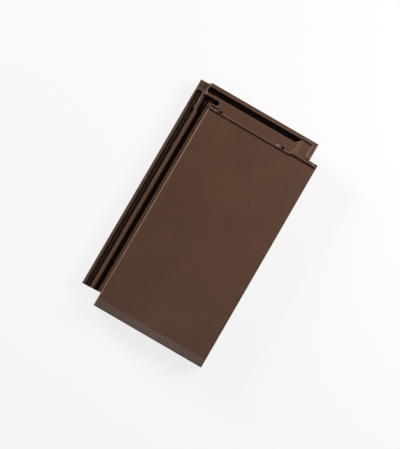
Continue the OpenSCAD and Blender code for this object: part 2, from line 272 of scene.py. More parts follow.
def slots(x, y):
    """Two masks: the long groove along the head, and the drain pocket."""
    ends = (HEAD_GROOVE_X0, HEAD_GROOVE_X1, HEAD_GROOVE_Y, HEAD_GROOVE_END)
    groove = rounded_slot(x, y, *ends, HEAD_GROOVE_SLANT)
    pocket = rounded_slot(x, y, POCKET_X0, POCKET_X1, POCKET_Y0, POCKET_Y1)
    return groove, pocket


print(f"head groove: {HEAD_GROOVE_X1 - HEAD_GROOVE_X0:.0f} mm long")
print(f"drain pocket: {POCKET_X1 - POCKET_X0:.0f} mm long")

# %% Whole face
POCKET_LIP_RISE = 2.7
POCKET_LIP_X = (47.5, 50.0)
POCKET_LIP_Y = POCKET_Y0 - 3.0


def face(x, y):
    """Sharp height of the face: lock and panel, then the head lock over them with a leaning left end and a
    lip in front of the pocket, then the groove with its leaning rear wall and the pocket cut into it."""
    low = lock_and_panel(x, y)
    high = plateau(x, y)
    z = np.where(head_mask(x, y), high, low)
    end_wall = low + (high - low) * ramp(x, *HEAD_END_X)
    z = np.where((y > POCKET_Y1) & between(x, *HEAD_END_X), end_wall, z)
    lip = (x > LOCK_WALL) & between(y, POCKET_LIP_Y, POCKET_Y0)
    z = z + POCKET_LIP_RISE * lip * (1 - ramp(x, *POCKET_LIP_X))
    along_groove = between(x, HEAD_GROOVE_X0, HEAD_GROOVE_X1 + HEAD_GROOVE_SLANT)
    rear = along_groove & between(y, HEAD_GROOVE_END, HEAD_RIM_Y)
    up_rear = ramp(y, HEAD_GROOVE_END, HEAD_RIM_Y - HEAD_RIM_LAP)
    z = np.where(rear, HEAD_GROOVE_Z + (HEAD_RIM_Z - HEAD_GROOVE_Z) * up_rear, z)
    groove, pocket = slots(x, y)
    z = np.where(groove, HEAD_GROOVE_Z, z)
    return np.where(pocket, np.minimum(z, POCKET_Z), z)


print(f"face: {height_at(face, TILE_WIDTH / 2, TILE_LENGTH / 2):.1f} mm high at the panel's middle")

# %% [markdown]
# The back is hidden in the photograph, so it has only what every tile of this kind has: a foot lip, a
# water bar, ribs that bear on the batten, two nibs that hook over it, and the ribs under the cover flange.
# It could be a second model joined to the face. As a height over the same plan it needs no joining: two
# rows of corners give its section, and each part below it lowers the height where it stands.

# %% Section of the back
PANEL_UNDER = 19.0
HEAD_UNDER = 16.0
LOCK_UNDER = 9.0
LOCK_UNDER_X = LEDGE_X - 1.0
PANEL_UNDER_X = LOCK_WIDTH + 12.0
FLANGE_UNDER = 23.5
FLANGE_EDGE_UNDER = 24.7
REBATE_X = 213.6
COVER_WIDTH = 215.6
BACK_SECTION = np.array([
    (0, LOCK_UNDER),
    (LOCK_UNDER_X, LOCK_UNDER),
    (PANEL_UNDER_X, PANEL_UNDER),
    (REBATE_X - DRAFT / 2, PANEL_UNDER),
    (REBATE_X, FLANGE_UNDER),
    (COVER_WIDTH + LEDGE_X - 2 * DRAFT, FLANGE_UNDER),
    (COVER_WIDTH + LEDGE_X - DRAFT, FLANGE_EDGE_UNDER),
    (TILE_WIDTH, FLANGE_EDGE_UNDER),
])
OUTER_RIB_Z, INNER_RIB_Z = 20.3, 16.7
FLANGE_RIBS = np.array([
    (222.4, FLANGE_UNDER),
    (223.0, OUTER_RIB_Z),
    (228.0, OUTER_RIB_Z),
    (228.6, FLANGE_UNDER),
    (237.8, FLANGE_UNDER),
    (239.0, INNER_RIB_Z),
    (242.5, INNER_RIB_Z),
    (245.4, FLANGE_UNDER),
])
print(f"back: panel {PANEL_Z - PANEL_UNDER:.1f} mm thick, cover flange {TILE_WIDTH - REBATE_X:.1f} mm wide")

# %% Parts below the back
REBATE_Y = 20.0
LOCK_END_Y = TILE_LENGTH - 4.0
FLANGE_RIB_Y = (19.0, GROOVE_STEP_Y - 3.0)
LIP, LIP_DRAFT = 11.0, 5.0
WATER_BAR_X = (42.9, 196.6)
WATER_BAR_Y = (41.0, 47.0)
WATER_BAR_Z = 3.3
WATER_BAR_DRAFT = 2.4
RIB_WIDTH = 7.0
RIB_Y = (46.0, 409.0)
NIB_MIDDLE = 125.0
NIB_SPACING = 84.0
NIB_WIDTH = 30.0
NIB_Y = TILE_LENGTH - 26.0
NIB_THICKNESS, NIB_DRAFT = 9.0, 5.0
print(f"back: nibs {NIB_SPACING:.0f} mm apart, {TILE_LENGTH - NIB_Y:.0f} mm from the head's edge")


# %% Whole back
def back(x, y):
    """Sharp height of the back: the lowest of its section across the tile and of every part below it."""
    z = np.interp(x, *BACK_SECTION.T)
    z = np.where((y < REBATE_Y) & (x > LOCK_WIDTH), PANEL_UNDER, z)
    z = np.where((y > STEP_Y) & between(x, LOCK_WALL, REBATE_X), np.minimum(z, HEAD_UNDER), z)
    past_lock = (y > LOCK_END_Y) & between(x, HEAD_LEFT, REBATE_X)
    z = np.where(past_lock, HEAD_UNDER, z)
    flange = between(y, *FLANGE_RIB_Y) & between(x, FLANGE_RIBS[0, 0], FLANGE_RIBS[-1, 0])
    z = np.where(flange, np.minimum(z, np.interp(x, *FLANGE_RIBS.T)), z)
    lip = PANEL_UNDER * ramp(y, LIP, LIP + LIP_DRAFT)
    over_lip = (y < LIP + LIP_DRAFT) & (x > LOCK_WALL)
    z = np.where(over_lip, np.minimum(z, lip), z)
    rise = ramp(y, WATER_BAR_Y[0] - WATER_BAR_DRAFT, WATER_BAR_Y[0])
    fall = ramp(y, WATER_BAR_Y[1], WATER_BAR_Y[1] + WATER_BAR_DRAFT)
    bar = PANEL_UNDER - (PANEL_UNDER - WATER_BAR_Z) * rise * (1 - fall)
    z = np.where(between(x, *WATER_BAR_X), np.minimum(z, bar), z)
    for side in (-1, 0, 1):
        off = np.abs(x - NIB_MIDDLE - side * NIB_SPACING / 2)
        rib = LOCK_UNDER + (PANEL_UNDER - LOCK_UNDER) * ramp(off, RIB_WIDTH / 2, RIB_WIDTH / 2 + DRAFT)
        over_rib = between(y, *RIB_Y) & (off < RIB_WIDTH / 2 + DRAFT)
        z = np.where(over_rib, np.minimum(z, rib), z)
        nib = HEAD_UNDER * ramp(y, NIB_Y + NIB_THICKNESS, NIB_Y + NIB_THICKNESS + NIB_DRAFT)
        over_nib = (y > NIB_Y) & (off < NIB_WIDTH / 2) & (side != 0)
        z = np.where(over_nib, np.minimum(z, nib), z)
    return z


print(f"back: lip at {height_at(back, TILE_WIDTH / 2, LIP / 2):.1f}, bearing ribs at {LOCK_UNDER:.1f} mm")

# %% [markdown]
# A die is eased at every corner, and wet clay rounds off further as it dries. A Bevel modifier could round
# the edges, but it fails where many of them meet. The mean of the sharp height over a small disc does it
# alike everywhere: it rounds corners and leans upright walls.

# %% Easing
# Each ring of samples is (share of the reach, number of spokes).
RINGS = ((0.48, 6), (0.84, 10))


def eased(shape, x, y, reach):
    """Mean of shape over a disc of the given reach, sampled at its middle and on two rings."""
    total = shape(x, y)
    count = 1
    for radius, spokes in RINGS:
        for angle in np.arange(spokes) * 2 * math.pi / spokes:
            total = total + shape(x + reach * radius * math.cos(angle), y + reach * radius * math.sin(angle))
            count += 1
    return total / count


def roll(depth, radius):
    """Drop of a quarter-round edge at a depth inside the outline: the radius at the edge, 0 past it."""
    inside = radius - np.clip(depth, 0, radius)
    return radius - np.sqrt(radius ** 2 - inside ** 2)


print(f"easing: {1 + sum(spokes for _, spokes in RINGS)} samples of the shape for each point")

# %% [markdown]
# The grid has close lines where the shape turns and wide ones where it is plain. Two corners of the plan
# are left out, and round each nail hole the square lines are bent into rings, so that the hole's edge is
# a true circle. That gives clean quads, where cutting holes out of a mesh would leave slivers.

# %% Grid lines
LOCK_FOOT = 23.0
RING = 3 * HOLE_RADIUS
RING_STEP = HOLE_RADIUS / 3
NIB_EDGE = 0.8
NIB_ENDS = [NIB_MIDDLE + side * NIB_SPACING / 2 + end * NIB_WIDTH / 2 for side in (-1, 1) for end in (-1, 1)]
SPARE_SHARE = 0.01


def ruled(start, *runs):
    """Lines from start through runs of (end, widest step), each cut into equal steps."""
    parts = [np.array([start])]
    for end, step in runs:
        count = math.ceil((end - start) / step - SPARE_SHARE)
        parts.append(start + (end - start) * np.arange(1, count + 1) / count)
        start = end
    return np.concatenate(parts)


x_lines = ruled(
    0.0, (0.2, 0.2), (0.7, 0.5), (1.5, 0.8), (LOCK_WALL, 0.62), (LOCK_WIDTH, 0.4), (38.4, 0.5), (50.4, 0.9),
    (HOLE_X[0] - RING, 1.1), (HOLE_X[0] - HOLE_RADIUS, 1.2), (HOLE_X[0] + HOLE_RADIUS, RING_STEP),
    (HOLE_X[0] + RING, 1.2), (NIB_ENDS[0] - NIB_EDGE, 0.8), (NIB_ENDS[0] + NIB_EDGE, 0.4), (78.2, 2.5),
    (87.8, 1.0), (NIB_ENDS[1] - NIB_EDGE, 3.4), (NIB_ENDS[1] + NIB_EDGE, 0.4), (120.2, 4.5), (129.8, 1.0),
    (NIB_ENDS[2] - NIB_EDGE, 4.5), (NIB_ENDS[2] + NIB_EDGE, 0.4), (162.2, 3.2), (171.8, 1.0),
    (HOLE_X[1] - RING, 1.0), (HOLE_X[1] - HOLE_RADIUS, 1.2), (HOLE_X[1] + HOLE_RADIUS, RING_STEP),
    (HOLE_X[1] + RING, 1.2), (194.0, 1.6), (208.0, 0.8), (220.0, 1.1), (HEAD_RIGHT - 1.5, 0.8),
    (HEAD_RIGHT, 0.5), (236.8, 1.2), (246.4, 0.8), (248.0, 0.8), (249.2, 0.6), (TILE_WIDTH, 0.3),
)
y_lines = ruled(
    0.0, (0.2, 0.2), (0.7, 0.5), (1.6, 0.9), (17.0, 1.4), (19.0, 1.0), (21.0, 0.5), (LOCK_FOOT, 1.0),
    (24.5, 0.5), (38.0, 4.5), (50.0, 0.9), (372.0, 14.0), (377.0, 2.5), (383.0, 0.6), (HOLE_Y - RING, 1.6),
    (HOLE_Y + RING, RING_STEP), (CORNER_Y, 0.6), (433.2, 0.6), (TILE_LENGTH, 0.4),
)
print(f"grid: {len(x_lines)} by {len(y_lines)} lines")

# %% Bending the grid
LOCK_SLANT = 1.6
LOCK_BEND_X, LOCK_BEND_Y = 80.0, 60.0
CORNER_RAMP_X = (13.5, 21.0)
CORNER_BEND_Y = 424.0
TINY = 1e-9


def bent(x, y):
    """The grid's points: the lock's foot end slants, the head edge is set back over the corner block, and
    squares round a nail hole become circles of the same half width, fading out three radii away."""
    slant = LOCK_SLANT * np.interp(x, (0, LOCK_WIDTH, LOCK_BEND_X), (0, 1, 0))
    y = y + slant * np.interp(y, (0, LOCK_FOOT, LOCK_BEND_Y), (0, 1, 0))
    setback = (TILE_LENGTH - CORNER_Y) * (1 - ramp(x, *CORNER_RAMP_X))
    y = y - setback * ramp(y, CORNER_BEND_Y, TILE_LENGTH)
    for hole_x in HOLE_X:
        dx, dy = x - hole_x, y - HOLE_Y
        square = np.maximum(np.abs(dx), np.abs(dy))
        circle = np.maximum(np.hypot(dx, dy), TINY)
        pull = (square / circle - 1) * (1 - ramp(square, HOLE_RADIUS, RING))
        x, y = x + dx * pull, y + dy * pull
    return x, y


grid_x, grid_y = np.meshgrid(x_lines, y_lines, indexing="ij")
point_x, point_y = bent(grid_x, grid_y)
bend = np.hypot(point_x - grid_x, point_y - grid_y)
print(f"bending: the farthest point moved by {bend.max():.1f} mm")

# %% Cells that hold clay
mid_x = (x_lines[1:] + x_lines[:-1]) / 2
mid_y = (y_lines[1:] + y_lines[:-1]) / 2
cell_x, cell_y = np.meshgrid(mid_x, mid_y, indexing="ij")
kept = ~((cell_x < LOCK_WIDTH) & (cell_y < LOCK_FOOT))
kept &= ~((cell_x > HEAD_RIGHT) & (cell_y > FLANGE_Y))
for hole_x in HOLE_X:
    kept &= np.maximum(np.abs(cell_x - hole_x), np.abs(cell_y - HOLE_Y)) > HOLE_RADIUS
print(f"cells with clay: {kept.sum()} of {kept.size}")

# %% [markdown]
# At the outline the face rolls over into the sides. The depth of each point inside the outline gives how
# far it drops, which needs no edges to be picked. Firing also leaves a tile slightly uneven, by a few tenths
# of a millimetre over its length. Long waves give that, where noise would look like a rough surface.

# %% Depth inside the outline
OUTLINE = np.array([
    (0, LOCK_FOOT),
    (LOCK_WIDTH, LOCK_FOOT + LOCK_SLANT),
    (LOCK_WIDTH, 0),
    (TILE_WIDTH, 0),
    (TILE_WIDTH, FLANGE_Y),
    (HEAD_RIGHT, FLANGE_Y),
    (HEAD_RIGHT, TILE_LENGTH),
    (CORNER_RAMP_X[1], TILE_LENGTH),
    (CORNER_RAMP_X[0], CORNER_Y),
    (0, CORNER_Y),
])


def depth_inside(x, y):
    """Distance from each point to the nearest side of the outline."""
    depth = np.full(x.shape, np.inf)
    for (x0, y0), (x1, y1) in zip(OUTLINE, np.roll(OUTLINE, -1, axis=0)):
        length = math.hypot(x1 - x0, y1 - y0)
        t = np.clip(((x - x0) * (x1 - x0) + (y - y0) * (y1 - y0)) / length ** 2, 0, 1)
        depth = np.minimum(depth, np.hypot(x - x0 - t * (x1 - x0), y - y0 - t * (y1 - y0)))
    return depth


def depth_at_holes(x, y):
    """Distance from each point to the edge of the nearer nail hole."""
    return np.min([np.hypot(x - hole_x, y - HOLE_Y) for hole_x in HOLE_X], axis=0) - HOLE_RADIUS


depth = depth_inside(point_x, point_y)
hole_depth = depth_at_holes(point_x, point_y)
print(f"outline: {len(OUTLINE)} sides, the deepest point lies {depth.max():.0f} mm inside")

# %% Unevenness of the face
# Each wave is (waves across the tile, waves along it, phase, height).
WAVES = ((0.9, 1.7, 0.3, 0.10), (2.1, -1.2, 1.1, 0.07), (-1.3, 2.9, 2.0, 0.05))
EVEN_EDGE = 20.0


def unevenness(x, y):
    """Sum of three long waves that cross the tile at different slants."""
    return sum(height * np.sin(2 * math.pi * (across * x / TILE_WIDTH + along * y / TILE_LENGTH) + phase)
               for across, along, phase, height in WAVES)


uneven = unevenness(point_x, point_y) * ramp(depth, 0, EVEN_EDGE)
print(f"unevenness: from {uneven.min():.2f} to {uneven.max():.2f} mm")

# %% Heights of the face and the back
FACE_EASE, BACK_EASE = 0.85, 1.0
EDGE_ROLL, RIGHT_EDGE_ROLL, BACK_ROLL, HOLE_ROLL = 1.1, 1.3, 1.2, 0.5
face_z = eased(face, point_x, point_y, FACE_EASE)
back_z = eased(back, point_x, point_y, BACK_EASE)
drop = np.maximum(roll(depth, EDGE_ROLL), roll(TILE_WIDTH - point_x, RIGHT_EDGE_ROLL))
drop = np.maximum(drop, roll(hole_depth, HOLE_ROLL))
top_z = np.minimum(face_z - drop + uneven, TILE_HEIGHT)
low_z = back_z + roll(depth, BACK_ROLL)
print(f"thinnest clay: {(top_z - low_z).min():.1f} mm, highest point {top_z.max():.1f} mm")

# %% [markdown]
# Engobe is sprayed on wet. It runs thin over arrises and gathers in hollows. Blender's Pointiness could
# find both, but it depends on how close the mesh's points are. Here a point's height against the mean height
# round it tells the two apart, and each point carries the result as a number that the material reads. The
# same numbers carry painted light. The dark coat in grooves, hollows and nail holes is mostly painted shade,
# which plain soft light leaves too pale. The pale coat on arrises is partly painted highlight, and on the
# pips, the low steps at the right end and the corner block it is painted highlight. Low steps, the ledge and
# the pips are left out of the painted shade, because the photograph shows no dark line there.

# %% Hollows, where shade is painted
HOLLOW_REACH, HOLLOW_FULL = 3.8, 0.17
RELIEF_REACH = 2.4
BLOCK_HOLLOW = 0.45
LEDGE_EDGE = 1.0
# Painted shade: the coat is darkened in concave corners and at the foot of steps, where shade falls.
hollow_shade = np.clip((eased(face, point_x, point_y, HOLLOW_REACH) - face_z) / HOLLOW_FULL, 0, 1)
hollow_shade = hollow_shade * ((point_y > GROOVE_STEP_Y - 2 * HOLLOW_REACH) | (point_x < SHELF_X))
right_end = (point_x > FIRST_STEP[0] - STEP_LEAN - RELIEF_REACH) & (point_y > STEP_Y + RELIEF_REACH)
low_steps = right_end & (point_x < SIDE_RIM_X[1]) & (point_y < HEAD_RIM_Y - HOLLOW_REACH)
on_ledge = between(point_x, LEDGE_X - LEDGE_EDGE, LOCK_WIDTH + LEDGE_EDGE) & (point_y < STEP_Y - HOLLOW_REACH)
hollow_shade = hollow_shade * ~low_steps * ~on_ledge
on_block = (point_y > POCKET_Y1 + CORNER_LAG) & (point_x < HEAD_END_X[0])
hollow_shade = hollow_shade * np.where(on_block, BLOCK_HOLLOW, 1)
near_lip = (point_x < POCKET_LIP_X[1] + HOLLOW_REACH) & (point_y > POCKET_LIP_Y - HOLLOW_REACH)
for pip_x, pip_y, half_width, half_length, _ in PIPS:
    beside = np.abs(point_x - pip_x) < half_width + HOLLOW_REACH
    above_step = between(point_y, STEP_Y + FACE_EASE, pip_y + half_length + HOLLOW_REACH)
    hollow_shade = hollow_shade * ~(beside & above_step & ~near_lip)
print(f"hollows: {(hollow_shade > 0.5).mean():.1%} of the points lie below what is round them")

# %% Depth in the side lock
SHADE_START = 1.0
OUTER_SHADE = (5.2, 10.0)
INNER_SHADE = (6.0, 11.0)
INNER_SHADE_X = (INNER_FLOOR_X - 2.0, LEDGE_X)
# Painted shade: the coat in the side lock's grooves darkens with depth, and sooner on the shelf under the
# rim.
on_shelf = (point_x < SHELF_X) & (point_y < GROOVE_STEP_Y)
outer_full = np.where(on_shelf, *OUTER_SHADE)
inner_full = np.interp(point_x, INNER_SHADE_X, INNER_SHADE)
shade_full = np.where(point_x < RIB_X0, outer_full, inner_full)
lock_shade = ramp(LOCK_TOP - face_z, SHADE_START, shade_full) * (point_x < LOCK_WALL)
print(f"side lock: coat gathers up to {lock_shade.max():.2f} of its full depth")

# %% Where the coat gathers and shade is painted
HOLE_SHADE = (0.2, 1.0)


def slot_share(x, y):
    """1 inside the head groove or the drain pocket, 0 outside."""
    groove, pocket = slots(x, y)
    return (groove | pocket).astype(float)


# Painted shade: the head groove, the drain pocket and the walls of the nail holes are darkened.
slot_shade = eased(slot_share, point_x, point_y, FACE_EASE)
hole_edge = 1 - ramp(hole_depth, *HOLE_SHADE)
pool_and_shade = np.max([lock_shade, hollow_shade, hole_edge, slot_shade], axis=0)
print(f"recesses: the coat is at least half gathered on {(pool_and_shade > 0.5).mean():.1%} of the points")

# %% Where the coat is thin and highlight is painted
RELIEF_FULL, LOW_RELIEF_FULL = 0.35, 0.12
ARRIS_IN_LOCK = 0.4
BLOCK_HIGHLIGHT = 0.7
relief = face_z - eased(face, point_x, point_y, RELIEF_REACH)
# Partly painted highlight: convex edges get a paler coat, much stronger on the low steps at the right end.
thin_coat_and_highlight = np.clip(relief / np.where(right_end, LOW_RELIEF_FULL, RELIEF_FULL), 0, 1)
near_step = between(point_y, STEP_Y - RELIEF_REACH, STEP_Y + RELIEF_REACH)
lock_end = near_step & (point_x < LOCK_WIDTH + RELIEF_REACH)
thin_coat_and_highlight = thin_coat_and_highlight * ~lock_end * (1 - pool_and_shade) * np.where(point_x < LOCK_WALL, ARRIS_IN_LOCK, 1)
# Painted highlight: the top of the corner block is made paler, as if lit.
highlit_block = on_block & (point_y < HEAD_GROOVE_Y + CORNER_LAG)
thin_coat_and_highlight = np.where(highlit_block, np.maximum(thin_coat_and_highlight, BLOCK_HIGHLIGHT), thin_coat_and_highlight)
# Painted highlight: each pip is paler towards its middle, like a glint.
for pip in PIPS:
    thin_coat_and_highlight = np.maximum(thin_coat_and_highlight, np.sqrt(pip_dome(point_x, point_y, pip)))
print(f"arrises: {(thin_coat_and_highlight > 0.5).mean():.1%} of the points stand clear of what is round them")

# %% Coat on the back
COAT_REACH = 7.0
low_engobe = np.maximum(np.exp(-depth / COAT_REACH), hole_edge)
print(f"back: spray reaches {low_engobe.mean():.1%} of it")

# %% [markdown]
# The two height fields become one closed mesh: quads for the face, the same quads turned over for the
# back, and a band of quads wherever a cell with clay meets one without. Two grids could also be bridged by
# hand, but the numbers of the grid's points give every quad at once, and all of them face outwards.

# %% Quads of the skin
def band(first, second, where, count):
    """Upright quads under the edges from first to second, where the clay ends."""
    return np.stack([first + count, second + count, second, first], axis=-1)[where]


def skin_quads(kept):
    """Quads of the face, of the back, and of the sides between the two, as rows of four point numbers."""
    columns, rows = kept.shape
    number = np.arange((columns + 1) * (rows + 1)).reshape(columns + 1, rows + 1)
    count = number.size
    tops = np.stack([number[:-1, :-1], number[1:, :-1], number[1:, 1:], number[:-1, 1:]], axis=-1)[kept]
    lows = tops[:, ::-1] + count
    edge = np.pad(kept, 1)
    before, after = edge[1:-1, :-1], edge[1:-1, 1:]
    ahead, behind = number[1:, :], number[:-1, :]
    sides = [band(behind, ahead, after & ~before, count), band(ahead, behind, before & ~after, count)]
    before, after = edge[:-1, 1:-1], edge[1:, 1:-1]
    ahead, behind = number[:, 1:], number[:, :-1]
    sides += [band(ahead, behind, after & ~before, count), band(behind, ahead, before & ~after, count)]
    return tops, lows, np.concatenate(sides)


tops, lows, sides = skin_quads(kept)
used, quads = np.unique(np.concatenate([tops, lows, sides]), return_inverse=True)
quads = quads.reshape(-1, 4)
print(f"skin: {len(tops)} quads on the face, {len(sides)} on the sides, {2 * len(quads)} triangles in all")

# %% Mesh of the tile
SMOOTH_ANGLE = math.radians(55)


def points_of(x, y, z):
    """Rows of (x, y, z) in metres, moved so that the tile's middle stands over the origin."""
    moved = np.stack([x - TILE_WIDTH / 2, y - TILE_LENGTH / 2, z], axis=-1).reshape(-1, 3)
    return moved * MM


points = np.concatenate([points_of(point_x, point_y, top_z), points_of(point_x, point_y, low_z)])
mesh = bpy.data.meshes.new("roof_tile_skin")
mesh.from_pydata(points[used].tolist(), [], quads.tolist())
mesh.shade_smooth()
mesh.set_sharp_from_angle(angle=SMOOTH_ANGLE)
tile = bpy.data.objects.new("roof_tile_skin", mesh)
bpy.context.scene.collection.objects.link(tile)
print(f"mesh: {len(mesh.vertices)} points, {len(mesh.polygons)} quads")


# %% Attributes of the points
def set_attribute(name, on_face, on_back):
    """One number for each point of the mesh, from the grids of the face and of the back."""
    values = np.concatenate([on_face.ravel(), on_back.ravel()])[used]
    layer = mesh.attributes.new(name, "FLOAT", "POINT")
    layer.data.foreach_set("value", values.astype(np.float32))


# The first two numbers carry painted highlight and painted shade for the material.
set_attribute("thin_coat_and_highlight", thin_coat_and_highlight, np.zeros(thin_coat_and_highlight.shape))
set_attribute("pool_and_shade", pool_and_shade, hole_edge)
set_attribute("engobe", np.ones(thin_coat_and_highlight.shape), low_engobe)
print("attributes:", [layer.name for layer in mesh.attributes if layer.data_type == "FLOAT"])

# %% [markdown]
# Engobe is a thin slip of coloured clay, sprayed on before firing. It fires to a satin brown with faint
# clouds and fine grit, paler where it runs thin over arrises and darker where it gathers. Painted highlight
# makes the pips, the low steps and the corner block paler still, and painted shade turns grooves, hollows and
# nail holes warm and then almost black. The back stays bare, so the red body shows there. One material holds
# both, because it is one piece of clay, and mixes them by the numbers that the points carry. A satin ceramic
# has an index of refraction near 1.5. The roughness was matched to the soft sheen on the tile's nose.

# %% Colours and node helper
def linear(hex_colour):
    """sRGB hex to linear red, green, blue and full alpha."""
    values = np.array([int(hex_colour[i:i + 2], 16) for i in (1, 3, 5)]) / 255
    values = np.where(values <= 0.04045, values / 12.92, ((values + 0.055) / 1.055) ** 2.4)
    return (*values.tolist(), 1.0)


def add(tree, kind, settings=None, **inputs):
    """Add a node; settings are its properties, inputs are sockets by name, or by number as in _6, each
    set to a value or linked to a socket."""
    node = tree.nodes.new(kind)
    for name, value in (settings or {}).items():
        setattr(node, name, value)
    for name, value in inputs.items():
        socket = node.inputs[int(name[1:])] if name[0] == "_" else node.inputs[name.replace("_", " ")]
        if isinstance(value, bpy.types.NodeSocket):
            tree.links.new(value, socket)
        else:
            socket.default_value = value
    return node


COLOUR, NUMBER = {"data_type": "RGBA"}, {"data_type": "FLOAT"}
TIMES, LARGER = {"operation": "MULTIPLY"}, {"operation": "MAXIMUM"}
print("mid grey #808080 is", round(linear("#808080")[0], 3), "as linear light")

# %% Patterns of the fired clay
# Clouds of the spray, patches of sheen, grit and grain. Real grit and grain are finer, near 0.3 mm. They
# are drawn this coarse so that they show.
MOTTLE_MM, PATCH_MM, SPECKLE_MM, GRAIN_MM = 60.0, 9.0, 1.3, 0.7
CLOUD_DETAIL, FINE_DETAIL = 3.0, 2.0
clay = bpy.data.materials.new("engobed_fired_clay")
clay.use_nodes = True
tree = clay.node_tree
tree.nodes.clear()
place = add(tree, "ShaderNodeTexCoord").outputs["Object"]
sizes = (
    (MOTTLE_MM, CLOUD_DETAIL),
    (PATCH_MM, FINE_DETAIL),
    (SPECKLE_MM, FINE_DETAIL),
    (GRAIN_MM, FINE_DETAIL),
)
mottle, patch, speckle, grain = [
    add(tree, "ShaderNodeTexNoise", Vector=place, Scale=1 / (size * MM), Detail=detail).outputs["Fac"]
    for size, detail in sizes
]
thin_coat_and_highlight_at, pool_and_shade_at, coat_at = [
    add(tree, "ShaderNodeAttribute", {"attribute_name": name}).outputs["Fac"]
    for name in ("thin_coat_and_highlight", "pool_and_shade", "engobe")
]
print("patterns:", ", ".join(f"{size:g} mm" for size, _ in sizes))

# %% Colour of the engobe
# A brown slip with clouds and grit: it gives the eye an even, earthy brown that is never quite flat.
ENGOBE, ENGOBE_DARK = linear("#644534"), linear("#543829")
# Partly painted highlight: the pale coat on arrises, pips, low steps and the corner block.
THIN_COAT_AND_HIGHLIGHT = linear("#8a6c5b")
# Painted shade: warm brown, then almost black, for the dark coat in grooves, hollows and nail holes.
THICK_COAT_AND_SHADE, POOLED_COAT_AND_SHADE = linear("#4e240a"), linear("#160500")
GRIT = linear("#3d2417")
GRIT_FROM, GRIT_FULL, GRIT_SHARE = 0.58, 0.72, 0.5
SHADE_POWER, SHADE_SHARE = 0.4, 0.95
tone = add(tree, "ShaderNodeMix", COLOUR, _0=mottle, _6=ENGOBE_DARK, _7=ENGOBE).outputs[2]
grit_range = {"From_Min": GRIT_FROM, "From_Max": GRIT_FULL, "To_Max": GRIT_SHARE}
specks = add(tree, "ShaderNodeMapRange", Value=speckle, **grit_range).outputs[0]
gritty = add(tree, "ShaderNodeMix", COLOUR, _0=specks, _6=tone, _7=GRIT).outputs[2]
# Painted shade: the coat turns warm, then almost black, as the number for grooves and hollows grows.
shade_weight = add(tree, "ShaderNodeMath", {"operation": "POWER"}, _0=pool_and_shade_at, _1=SHADE_POWER).outputs[0]
shade_mix = add(tree, "ShaderNodeMath", TIMES, _0=shade_weight, _1=SHADE_SHARE).outputs[0]
shade_tone = add(tree, "ShaderNodeMix", COLOUR, _0=pool_and_shade_at, _6=THICK_COAT_AND_SHADE, _7=POOLED_COAT_AND_SHADE).outputs[2]
shaded_coat = add(tree, "ShaderNodeMix", COLOUR, _0=shade_mix, _6=gritty, _7=shade_tone).outputs[2]
# Partly painted highlight: the coat turns paler on arrises, pips, low steps and the corner block.
thin_coat_and_highlight_share = add(tree, "ShaderNodeMath", TIMES, _0=thin_coat_and_highlight_at, _1=speckle).outputs[0]
coat = add(tree, "ShaderNodeMix", COLOUR, _0=thin_coat_and_highlight_share, _6=shaded_coat, _7=THIN_COAT_AND_HIGHLIGHT).outputs[2]
print(f"engobe: {len(tree.nodes)} nodes so far")

# %% Bare clay and the finished surface
# The bare body is a paler, redder clay with the same grit. The sheen is satin on the panel, dull in patches
# and matt where the coat gathers and shade is painted, so that grooves give back little light.
BARE_CLAY, BARE_CLAY_DARK = linear("#9c5e40"), linear("#824a31")
SATIN, DULL, MATT = 0.33, 0.43, 1.0
CERAMIC_IOR = 1.5
BUMP_STRENGTH, BUMP_MM = 0.12, 0.1
bare = add(tree, "ShaderNodeMix", COLOUR, _0=patch, _6=BARE_CLAY_DARK, _7=BARE_CLAY).outputs[2]
bare = add(tree, "ShaderNodeMix", COLOUR, _0=specks, _6=bare, _7=GRIT).outputs[2]
body = add(tree, "ShaderNodeMix", COLOUR, _0=coat_at, _6=bare, _7=coat).outputs[2]
sheen = add(tree, "ShaderNodeMix", NUMBER, _0=patch, _2=SATIN, _3=DULL).outputs[0]
gloss = add(tree, "ShaderNodeMix", NUMBER, _0=pool_and_shade_at, _2=sheen, _3=MATT).outputs[0]
bump = add(tree, "ShaderNodeBump", Strength=BUMP_STRENGTH, Distance=BUMP_MM * MM, Height=grain)
shader = add(tree, "ShaderNodeBsdfPrincipled", Base_Color=body, Roughness=gloss, IOR=CERAMIC_IOR,
             Normal=bump.outputs["Normal"])
add(tree, "ShaderNodeOutputMaterial", Surface=shader.outputs[0])
mesh.materials.append(clay)
print(f"material: {clay.name} with {len(tree.nodes)} nodes")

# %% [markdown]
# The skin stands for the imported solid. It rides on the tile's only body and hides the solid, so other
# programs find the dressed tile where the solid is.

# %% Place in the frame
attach(tile, "root")
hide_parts("roof_tile")
print(f"{tile.name} rides on root and replaces roof_tile")

# %% [markdown]
# The photograph looks almost straight down on the tile, which lies turned by thirty degrees in the frame.
# It could be placed by eye, but the corners of the outline can be measured, so its small tilt off the
# vertical, its turn and its roll were fitted to them. Its distance is assumed.

# %% Camera
CAMERA_DISTANCE = 3.0
CAMERA_TARGET = Vector((0.0001, -0.0047, 0.020))
CAMERA_TILT, CAMERA_TURN, CAMERA_ROLL = math.radians(4.1), math.radians(7.2), math.radians(30.16)
SENSOR_MM = 36.0
FOCAL_HEIGHTS = 3.868
spin = Matrix.Rotation(CAMERA_TURN, 3, "Z") @ Matrix.Rotation(CAMERA_TILT, 3, "X")
spin = spin @ Matrix.Rotation(CAMERA_ROLL - CAMERA_TURN, 3, "Z")
lens = bpy.data.cameras.new("camera")
lens.sensor_width = SENSOR_MM
lens.lens = FOCAL_HEIGHTS * SENSOR_MM
camera = bpy.data.objects.new("camera", lens)
stand = CAMERA_TARGET + spin @ Vector((0, 0, CAMERA_DISTANCE))
camera.matrix_world = Matrix.Translation(stand) @ spin.to_4x4()
bpy.context.scene.collection.objects.link(camera)
bpy.context.scene.camera = camera
